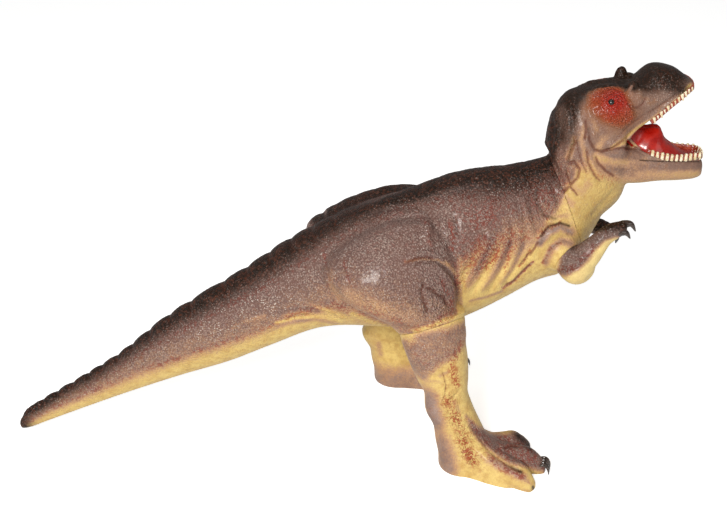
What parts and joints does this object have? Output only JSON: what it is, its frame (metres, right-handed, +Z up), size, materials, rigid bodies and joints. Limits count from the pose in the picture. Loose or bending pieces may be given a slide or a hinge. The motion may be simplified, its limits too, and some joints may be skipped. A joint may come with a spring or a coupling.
{
  "type": "toy_dinosaur_figure",
  "caption": "Large soft vinyl toy dinosaur, two-legged and striding with open mouth, stuffed with fibre; head, arms and legs swivel on hidden plugs",
  "frame": {"origin": "On the floor, under the middle of the figure's bounding box", "axes": "+X towards the nose, +Y towards the figure's left side, +Z up"},
  "size_m": [0.7002, 0.2838, 0.3891],
  "materials": {
    "vinyl_skin": "soft painted vinyl, satin, pebbled",
    "mouth_vinyl": "glossy red lacquer on vinyl",
    "eye_bead": "polished black",
    "plug_plastic": "natural moulded, satin",
    "fibre": "loose polyester fibre"
  },
  "bodies": {
    "trunk": {"trunk_shell": "vinyl_skin", "trunk_stuffing": "fibre"},
    "head": {"head_shell": "vinyl_skin", "head_stuffing": "fibre", "mouth_lining": "mouth_vinyl", "right_eye": "eye_bead", "left_eye": "eye_bead", "neck_plug": "plug_plastic", "neck_washer": "plug_plastic"},
    "right_arm": {"right_arm_shell": "vinyl_skin", "right_arm_plug": "plug_plastic", "right_arm_washer": "plug_plastic"},
    "right_leg": {"right_leg_shell": "vinyl_skin", "right_leg_plug": "plug_plastic", "right_leg_washer": "plug_plastic", "right_leg_stuffing": "fibre"},
    "left_arm": {"left_arm_shell": "vinyl_skin", "left_arm_plug": "plug_plastic", "left_arm_washer": "plug_plastic"},
    "left_leg": {"left_leg_shell": "vinyl_skin", "left_leg_plug": "plug_plastic", "left_leg_washer": "plug_plastic", "left_leg_stuffing": "fibre"}
  },
  "joints": [
    {"name": "neck_swivel", "type": "hinge", "parent": "trunk", "child": "head", "pos_m": [0.21703, 0, 0.25058], "axis": [0.9291, 0, 0.3697], "range_deg": [-30, 30]},
    {"name": "right_shoulder_swivel", "type": "hinge", "parent": "trunk", "child": "right_arm", "pos_m": [0.21451, -0.043, 0.20794], "axis": [0.6039, -0.6947, -0.3907], "range_deg": [-15, 45]},
    {"name": "left_shoulder_swivel", "type": "hinge", "parent": "trunk", "child": "left_arm", "pos_m": [0.21451, 0.043, 0.20794], "axis": [0.6039, 0.6947, -0.3907], "range_deg": [-45, 15]},
    {"name": "right_leg_swivel", "type": "hinge", "parent": "trunk", "child": "right_leg", "pos_m": [0.07998, -0.066, 0.15], "axis": [0.269, -0.3917, -0.8799], "range_deg": [-15, 15]},
    {"name": "left_leg_swivel", "type": "hinge", "parent": "trunk", "child": "left_leg", "pos_m": [0.04998, 0.066, 0.15], "axis": [0.269, 0.3917, -0.8799], "range_deg": [-15, 15]}
  ]
}
